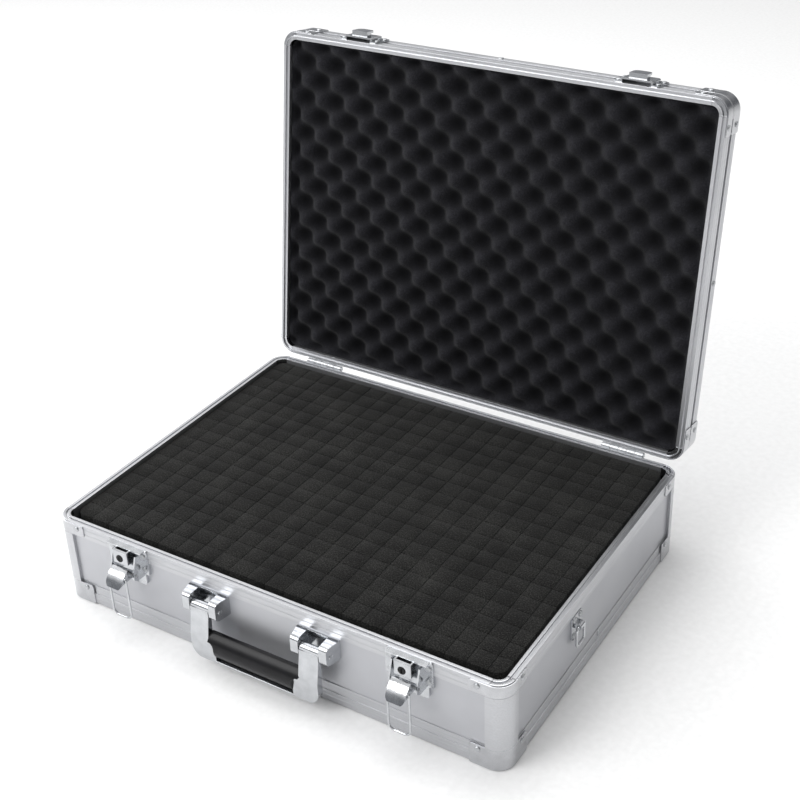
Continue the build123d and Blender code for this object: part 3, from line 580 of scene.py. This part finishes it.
class CASE_OT_stage(bpy.types.Operator):
    """Pale floor, softboxes, sky and camera"""
    bl_idname = "case.stage"
    bl_label = "Stage"
    floor_half = 8.0        # half the floor's side, in metres like the values below
    floor_drop = 0.0004     # the floor lies this much lower than the case's underside
    target = (0, 0, 0.15)   # the softboxes point here
    sensor = 36.0           # millimetres

    def execute(self, context):
        sizes = context.scene.case_stage
        scene = context.scene
        bm = bmesh.new()
        bmesh.ops.create_grid(bm, x_segments=1, y_segments=1, size=self.floor_half)
        mesh = bpy.data.meshes.new("studio_floor")
        bm.to_mesh(mesh)
        bm.free()
        mesh.transform(Matrix.Translation((0, 0, -self.floor_drop)))
        floor = bpy.data.objects.new("studio_floor", mesh)
        scene.collection.objects.link(floor)
        mesh.materials.append(floor_material())
        self.add_world(scene)
        # Name, place and side in metres, power.
        lamps = (
            ("key_softbox", (-1.0, -1.6, 1.7), 1.4, sizes.key_power),
            ("fill_softbox", (-2.0, 0.2, 1.2), 1.4, sizes.fill_power),
            ("top_softbox", (-0.2, 0.7, 2.3), 1.6, sizes.top_power),
        )
        for name, place, side, power in lamps:
            lamp = bpy.data.lights.new(name, "AREA")
            lamp.shape = "SQUARE"
            lamp.size = side
            lamp.energy = power
            holder = bpy.data.objects.new(name, lamp)
            holder.location = place
            aim = Vector(self.target) - Vector(place)
            holder.rotation_euler = aim.to_track_quat("-Z", "Y").to_euler()
            scene.collection.objects.link(holder)
        self.add_camera(scene, sizes)
        scene.view_settings.view_transform = "Standard"
        return {"FINISHED"}

    def add_world(self, scene):
        """Pale light that is grey near the horizon and dimmer on the right, so that plating has
        something to reflect and the sides differ."""
        world = bpy.data.worlds.new("studio_world")
        scene.world = world
        world.use_nodes = True
        tree = world.node_tree
        tree.nodes.clear()
        place = add_node(tree, "ShaderNodeTexCoord").outputs["Generated"]
        axes = add_node(tree, "ShaderNodeSeparateXYZ", inputs={"Vector": place})
        height = spread(tree, axes.outputs["Z"], -1, 1, 0, 1)
        shade = ramp(
            tree, height,
            (0.0, "#ffffff"), (0.47, "#d8d9db"), (0.53, "#77797d"), (0.60, "#8b8d91"), (0.68, "#ffffff"),
        )
        strength = spread(tree, axes.outputs["X"], -0.8, 0.8, 1.10, 0.40)
        light = add_node(tree, "ShaderNodeBackground", inputs={"Color": shade, "Strength": strength})
        add_node(tree, "ShaderNodeOutputWorld", inputs={"Surface": light.outputs["Background"]})

    def add_camera(self, scene, sizes):
        """Camera from its turn, height angle, roll and distance to the aim point."""
        turn, rise, roll = sizes.azimuth, sizes.elevation, sizes.roll
        forward = Vector((-math.sin(turn) * math.cos(rise), math.cos(turn) * math.cos(rise), -math.sin(rise)))
        right = Vector((math.cos(turn), math.sin(turn), 0))
        up = right.cross(forward)
        across = math.cos(roll) * right + math.sin(roll) * up
        upward = -math.sin(roll) * right + math.cos(roll) * up
        lens = bpy.data.cameras.new("studio_camera")
        lens.lens = sizes.lens
        lens.sensor_width = self.sensor
        lens.shift_x, lens.shift_y = sizes.shift
        lens.clip_start = 0.01
        camera = bpy.data.objects.new("studio_camera", lens)
        turned = Matrix((across, upward, -forward)).transposed().to_4x4()
        camera.matrix_world = Matrix.Translation(Vector(sizes.aim) - forward * sizes.distance) @ turned
        scene.collection.objects.link(camera)
        scene.camera = camera


def add_block(bm, centre, size):
    """A box of a size round its centre."""
    bmesh.ops.create_cube(bm, size=1, matrix=Matrix.Translation(centre) @ Matrix.Diagonal(size).to_4x4())


class CASE_OT_cube_foam(bpy.types.Operator):
    """Scored foam in the base: soft cubes on an uncut pad"""
    bl_idname = "case.cube_foam"
    bl_label = "Scored foam"
    seed = 11
    corner_segments = 7

    def execute(self, context):
        sizes = context.scene.case_foam
        low, high = box_mm("foam_cube_block")
        high.x -= sizes.gap_right
        low.y += sizes.gap_front
        steady = random.Random(self.seed)
        columns = self.cuts(low.x, high.x, sizes.cube_x, sizes, steady)
        rows = self.cuts(low.y, high.y, sizes.cube_y, sizes, steady)
        bm = bmesh.new()
        for x0, x1 in zip(columns, columns[1:]):
            for y0, y1 in zip(rows, rows[1:]):
                top = high.z - steady.uniform(0.0, sizes.cube_unevenness)
                size = Vector((x1 - x0 - sizes.cut, y1 - y0 - sizes.cut, top - low.z))
                centre = Vector(((x0 + x1) / 2, (y0 + y1) / 2, (top + low.z) / 2))
                add_block(bm, centre, size)
        corner = [e for e in bm.edges if self.at_block_corner(e, columns, rows)]
        round_edges(bm, corner, sizes.block_corner, self.corner_segments)
        bm.normal_update()
        just_above = low.z + 1
        edges = [e for e in hard_edges(bm, angle=40) if max(v.co.z for v in e.verts) > just_above]
        round_edges(bm, edges, sizes.cube_round)
        piece = place_piece(bm, "scored_foam", "base_foam", ["foam_cube_block"], sharp_angle=60)

        bm = bmesh.new()
        low, high = box_mm("foam_base_pad")
        add_block(bm, (low + high) / 2, high - low)
        upright = [e for e in bm.edges if abs(e.verts[0].co.z - e.verts[1].co.z) > 1]
        round_edges(bm, upright, sizes.block_corner, self.corner_segments)
        bm.normal_update()
        round_edges(bm, hard_edges(bm, angle=60), sizes.cube_round)
        pad = place_piece(bm, "foam_pad", "base_foam", ["foam_base_pad"], sharp_angle=60)
        return {"FINISHED"}

    def cuts(self, start, stop, pitch, sizes, steady):
        """Places of the cuts, each a little off its mark as a hand-set knife leaves them. A cut
        that would leave a narrower last strip than allowed is left out."""
        count = int((stop - start) / pitch + 0.25)
        wander = sizes.cut_wander
        inner = [start + i * pitch + steady.uniform(-wander, wander) for i in range(1, count + 1)]
        return [start] + [x for x in inner if x < stop - sizes.narrowest] + [stop]

    def at_block_corner(self, edge, columns, rows):
        """True for the four upright edges at the corners of the whole block."""
        a, b = edge.verts
        if abs(a.co.z - b.co.z) < 1:
            return False
        near_x = min(abs(a.co.x - columns[0]), abs(a.co.x - columns[-1])) < 0.5
        near_y = min(abs(a.co.y - rows[0]), abs(a.co.y - rows[-1])) < 0.5
        return near_x and near_y


class CASE_OT_lid_foam(bpy.types.Operator):
    """Convoluted foam in the lid: a sheet of soft tips and pits"""
    bl_idname = "case.lid_foam"
    bl_label = "Lid foam"
    steepness = 1.15        # above 1 the tips are broader than the pits

    def execute(self, context):
        sizes = context.scene.case_foam
        low, high = shut_box("lid_foam")
        half = (high - low) / 2
        middle = (high + low) / 2
        radius = sizes.block_corner
        bm = bmesh.new()
        columns = int(2 * half.x / sizes.spacing)
        rows = int(2 * half.y / sizes.spacing)
        bmesh.ops.create_grid(bm, x_segments=columns, y_segments=rows, size=1)
        bmesh.ops.scale(bm, vec=(half.x, half.y, 1), verts=bm.verts)
        # Each point's depth in the sheet, kept on the mesh so that the material paints shade into the pits;
        # the hidden back is set deepest.
        pit_shade_depth = bm.verts.layers.float.new("depth")
        rim = [e for e in bm.edges if e.is_boundary]
        for vert in bm.verts:
            x, y = vert.co.x, vert.co.y
            vert.co.z = self.surface(x, y, half, sizes)
            vert[pit_shade_depth] = vert.co.z / sizes.pit_depth
            over_x, over_y = abs(x) - half.x + radius, abs(y) - half.y + radius
            if over_x > 0 and over_y > 0:
                a, b = over_x / radius, over_y / radius
                vert.co.x = math.copysign(half.x - radius + radius * a * math.sqrt(1 - b * b / 2), x)
                vert.co.y = math.copysign(half.y - radius + radius * b * math.sqrt(1 - a * a / 2), y)
        out = bmesh.ops.extrude_edge_only(bm, edges=rim)["geom"]
        back = [g for g in out if isinstance(g, bmesh.types.BMVert)]
        for vert in back:
            vert.co.z = high.z - low.z
        back_outline = [g for g in out if isinstance(g, bmesh.types.BMEdge) and g.is_boundary]
        bmesh.ops.contextual_create(bm, geom=back_outline)
        for vert in back:
            vert[pit_shade_depth] = 1.0
        bmesh.ops.recalc_face_normals(bm, faces=bm.faces)
        bmesh.ops.translate(bm, vec=(middle.x, middle.y, low.z), verts=bm.verts)
        piece = place_piece(bm, "convoluted_foam", "lid_foam", ["lid_foam"], on_lid=True, sharp_angle=70)
        return {"FINISHED"}

    def surface(self, x, y, half, sizes):
        """Depth of the surface behind the tips: a wave along each axis, softened at the outline."""
        u = (x + half.x - sizes.first_pit_x) / sizes.pit_x
        v = (half.y - y - sizes.first_pit_y) / sizes.pit_y
        wave = math.cos(2 * math.pi * u) * math.cos(2 * math.pi * v)
        depth = sizes.pit_depth * (0.5 + 0.5 * wave) ** self.steepness
        edge = min(half.x - abs(x), half.y - abs(y))
        held = max(0.0, 1 - edge / sizes.edge_strip) ** 2
        return depth * (1 - held) + sizes.edge_depth * held


class CASE_OT_extrusions(bpy.types.Operator):
    """Rim and edge extrusions along the four sides of each shell"""
    bl_idname = "case.extrusions"
    bl_label = "Extrusions"

    def execute(self, context):
        sizes = context.scene.case_extrusions
        sections = (
            ("base_rim_", rim_outline(sizes, 0), BASE_TOP, False),
            ("base_edge_", edge_outline(sizes, sizes.edge_flange), 0.0, False),
            ("lid_rim_", upside_down(rim_outline(sizes, sizes.tongue)), LID_SEAM, True),
            ("lid_edge_", upside_down(edge_outline(sizes, 0)), LID_TOP, True),
        )
        sides = (
            ("front", 0, HALF_LENGTH, HALF_DEPTH), ("right", 90, HALF_DEPTH, HALF_LENGTH),
            ("back", 180, HALF_LENGTH, HALF_DEPTH), ("left", 270, HALF_DEPTH, HALF_LENGTH),
        )
        for prefix, section, level, on_lid in sections:
            for side, angle, run, span in sides:
                bm = side_bar(section, level, run - CORNER_RADIUS, span)
                round_edges(bm, self.long_edges(bm), sizes.rounding)
                turned = Matrix.Rotation(math.radians(angle), 3, "Z")
                bmesh.ops.rotate(bm, cent=(0, 0, 0), matrix=turned, verts=bm.verts)
                finish = finish_for("anodised_along_y") if angle % 180 else None
                name = prefix + side
                even_shading(place_piece(
                    bm, name + "_bar", "anodised_aluminium", [name], on_lid, finish=finish,
                ))
        return {"FINISHED"}

    def long_edges(self, bm):
        """Sharp edges along the bar."""
        return [e for e in hard_edges(bm, angle=25) if abs(e.verts[0].co.x - e.verts[1].co.x) > 1]


class CASE_OT_corners(bpy.types.Operator):
    """Corner posts, plated rim corners and caps"""
    bl_idname = "case.corners"
    bl_label = "Corners"

    def execute(self, context):
        sizes = context.scene.case_extrusions
        for prefix, level, seam, on_lid, flip, cap in (
            ("base", 0.0, BASE_TOP, False, lambda s: s, sizes.base_cap),
            ("lid", LID_TOP, LID_SEAM, True, upside_down, sizes.lid_cap),
        ):
            tongue = sizes.tongue if on_lid else 0
            bm = bmesh.new()
            corner_sweep(bm, flip(rim_outline(sizes, tongue)), seam, 0)
            round_edges(bm, hard_edges(bm, angle=40), sizes.rounding)
            self.add_plate(bm, flip, seam, -sizes.rim_band + sizes.plate_margin, -sizes.plate_margin, sizes)
            self.place(bm, prefix + "_rim_corner_plates", "plated_steel", prefix + "_rim_corners", on_lid)

            bm = bmesh.new()
            corner_sweep(bm, flip(edge_outline(sizes, 0)), level, 0)
            self.add_cap(bm, flip, level, cap, sizes)
            self.place(bm, prefix + "_corner_caps", "plated_steel", prefix + "_edge_corners", on_lid)

            bm = bmesh.new()
            height = abs(seam - level)
            walls = (
                (-sizes.plate, sizes.skin, cap, height - sizes.rim_band + sizes.plate_margin),
                (RIM_WIDTH - sizes.skin, RIM_WIDTH, sizes.edge_band, height - sizes.rim_band),
            )
            for u0, u1, v0, v1 in walls:
                corner_sweep(bm, flip([(u1, v0), (u1, v1), (u0, v1), (u0, v0)]), level, sizes.post_lap)
            round_edges(bm, hard_edges(bm, angle=40), sizes.rounding / 2)
            self.place(
                bm, prefix + "_corner_posts", "anodised_aluminium", prefix + "_corner_profiles", on_lid,
            )
        return {"FINISHED"}

    def place(self, bm, name, slot_name, node, on_lid):
        """Repeats a corner at the other three and puts all four in their place."""
        at_corners(bm)
        even_shading(place_piece(bm, name, slot_name, [node], on_lid))

    def add_plate(self, bm, flip, level, v0, v1, sizes):
        """A pressed strip round the corner with rounded ends."""
        strip = [(-sizes.plate, v0), (-sizes.plate, v1), (0, v1), (0, v0)]
        verts = set(corner_sweep(bm, flip(strip), level, sizes.corner_arm))
        self.round_plate(bm, verts, sizes)

    def add_cap(self, bm, flip, level, height, sizes):
        """A pressed cap round the lower corner, down to the floor."""
        strip = [(-sizes.plate, height), (0, height), (0, 0), (-sizes.plate, 0)]
        verts = set(corner_sweep(bm, flip(strip), level, sizes.corner_arm))
        self.round_plate(bm, verts, sizes)

    def round_plate(self, bm, verts, sizes):
        """Rounds the ends of a plate, then the edges of its outer face."""
        through = sizes.plate * 1.2
        ends = [e for e in bm.edges if set(e.verts) <= verts and e.calc_length() < through and self.is_end(e)]
        round_edges(bm, ends, sizes.plate_end, 5)
        bm.normal_update()
        round_edges(bm, [e for e in hard_edges(bm, angle=40) if self.outside(e)], sizes.rounding)

    def is_end(self, edge):
        """True for the short edges through the sheet at the tips of the arms."""
        x, y = HALF_LENGTH - CORNER_RADIUS, HALF_DEPTH - CORNER_RADIUS
        a = edge.verts[0].co
        return a.x < x - 1 or a.y < y - 1

    def outside(self, edge):
        """True for edges on the outer face of a plate."""
        x, y = HALF_LENGTH - CORNER_RADIUS, HALF_DEPTH - CORNER_RADIUS
        for vert in edge.verts:
            reach = math.hypot(max(vert.co.x - x, 0), max(vert.co.y - y, 0))
            if reach < CORNER_RADIUS + 0.6:
                return False
        return True


class CASE_OT_fittings(bpy.types.Operator):
    """Latches, catches, handle, hinges, rings and rivets with softened edges"""
    bl_idname = "case.fittings"
    bl_label = "Fittings"

    def execute(self, context):
        sizes = context.scene.case_fittings
        pressings = ("latch_base_plate", "latch_lever", "latch_catch", "handle_bracket", "strap_ring_plate")
        for side in ("_left", "_right"):
            for name in pressings:
                softened_copy(name + side, "chrome_hardware", sizes.pressed_edge)
            for name in ("latch_bail", "strap_ring"):
                softened_copy(name + side, "chrome_hardware", 0)
            softened_copy("lock_plug" + side, "lock_core", sizes.plug_edge)
            for name in ("hinge_base_leaf", "hinge_lid_leaf"):
                softened_copy(name + side, "zinc_steel", sizes.hinge_edge)
        for name, slot_name, width in (
            ("handle_frame", "chrome_hardware", sizes.frame_edge),
            ("handle_grip", "black_grip", sizes.grip_edge),
            ("handle_pins", "chrome_hardware", 0),
            ("hinge_pins", "zinc_steel", sizes.hinge_edge),
            ("latch_lever_pins", "zinc_steel", sizes.hinge_edge),
            ("base_rivets", "zinc_steel", 0),
            ("lid_rivets", "zinc_steel", 0),
        ):
            softened_copy(name, slot_name, width)
        return {"FINISHED"}


class CASE_OT_boards(bpy.types.Operator):
    """Laminate on the flat boards"""
    bl_idname = "case.boards"
    bl_label = "Boards"

    def execute(self, context):
        boards = [n for n in NODES if n.endswith("_panel") or n == "lid_wall_strips"]
        for name in boards:
            for holder in NODES[name].material_slots:
                holder.material = finish_for("silver_board")
        return {"FINISHED"}


class CASE_PT_sidebar(bpy.types.Panel):
    """Lists the steps and the sizes of the case"""
    bl_label = "Equipment case"
    bl_idname = "CASE_PT_sidebar"
    bl_space_type = "VIEW_3D"
    bl_region_type = "UI"
    bl_category = "Case"

    def draw(self, context):
        for step in STEPS:
            self.layout.operator(step.bl_idname)
        for group in GROUPS:
            values = getattr(context.scene, group)
            column = self.layout.column(heading=group.replace("_", " ").capitalize())
            for key in values.__annotations__:
                column.prop(values, key)


STEPS = (
    CASE_OT_stage, CASE_OT_cube_foam, CASE_OT_lid_foam, CASE_OT_extrusions, CASE_OT_corners,
    CASE_OT_fittings, CASE_OT_boards,
)
GROUPS = {
    "case_extrusions": CaseExtrusions, "case_foam": CaseFoam, "case_fittings": CaseFittings,
    "case_stage": CaseStage,
}


def register():
    """Registers every class and hangs the property groups on the scene."""
    for kind in (*GROUPS.values(), *STEPS, CASE_PT_sidebar):
        bpy.utils.register_class(kind)
    for key, kind in GROUPS.items():
        setattr(bpy.types.Scene, key, bpy.props.PointerProperty(type=kind))


def unregister():
    """Undoes what register does."""
    for key in GROUPS:
        delattr(bpy.types.Scene, key)
    for kind in (CASE_PT_sidebar, *reversed(STEPS), *reversed(list(GROUPS.values()))):
        bpy.utils.unregister_class(kind)


def main():
    """Runs every step in order."""
    register()
    for step in STEPS:
        group, action = step.bl_idname.split(".")
        getattr(getattr(bpy.ops, group), action)()


if __name__ == "__main__":
    main()
